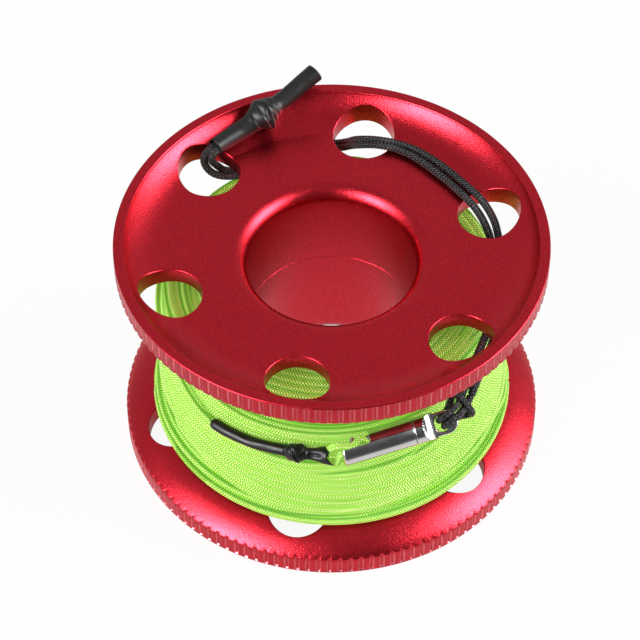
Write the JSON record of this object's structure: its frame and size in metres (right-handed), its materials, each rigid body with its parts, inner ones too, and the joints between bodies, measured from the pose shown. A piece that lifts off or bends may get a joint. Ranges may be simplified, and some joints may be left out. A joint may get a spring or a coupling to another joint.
{
  "type": "finger spool",
  "caption": "Dished, notched aluminium spool with a finger bore, wound with braided line; a swivel clip holds the line's loop to a cord lanyard threaded through the flange.",
  "frame": {"origin": "middle of the plane of the lower flange's rim, on the spool's axis", "axes": "+Z along the spool's axis towards the flange that carries the lanyard, +X to the right and -Y towards the clip as the picture shows them"},
  "size_m": [0.0958, 0.0972, 0.0649],
  "materials": {
    "anodised_aluminium": "turned, bead-blasted and anodised satin red",
    "line": "braided polyester line, fluorescent yellow-green",
    "lanyard_cord": "braided polyester cord, black",
    "line_shrink_tube": "shrunk polyolefin tube, matte black",
    "lanyard_shrink_tube": "shrunk polyolefin tube, matte charcoal",
    "steel": "turned and polished stainless steel"
  },
  "bodies": {
    "spool": {"lower_spool_half": "anodised_aluminium", "upper_spool_half": "anodised_aluminium", "line_core": "line", "line_outer_layer": "line", "line_lead": "line", "line_loop_knot": "line", "line_end_sleeve": "line_shrink_tube", "lanyard_strand_a": "lanyard_cord", "lanyard_strand_b": "lanyard_cord", "lanyard_hitch": "lanyard_cord", "lanyard_knot": "lanyard_cord", "lanyard_sleeve": "lanyard_shrink_tube", "swivel_rivet": "steel", "swivel_eye": "steel"},
    "clip": {"clip_barrel": "steel", "loop_peg": "steel", "gate_spring": "steel", "barrel_end_plug": "steel", "line_loop": "line"},
    "gate": {"gate_pin": "steel"}
  },
  "joints": [
    {"name": "clip_swivel", "type": "hinge", "parent": "spool", "child": "clip", "pos_m": [0.00229, -0.04347, 0.03832], "axis": [0.955, 0.2703, 0.1219], "continuous": true, "deforming": ["line_loop"]},
    {"name": "gate_slide", "type": "slide", "parent": "clip", "child": "gate", "axis": [0.955, 0.2703, 0.1219], "range_m": [0, 0.0024], "stiffness_N_per_m": 300, "deforming": ["gate_spring"]}
  ]
}
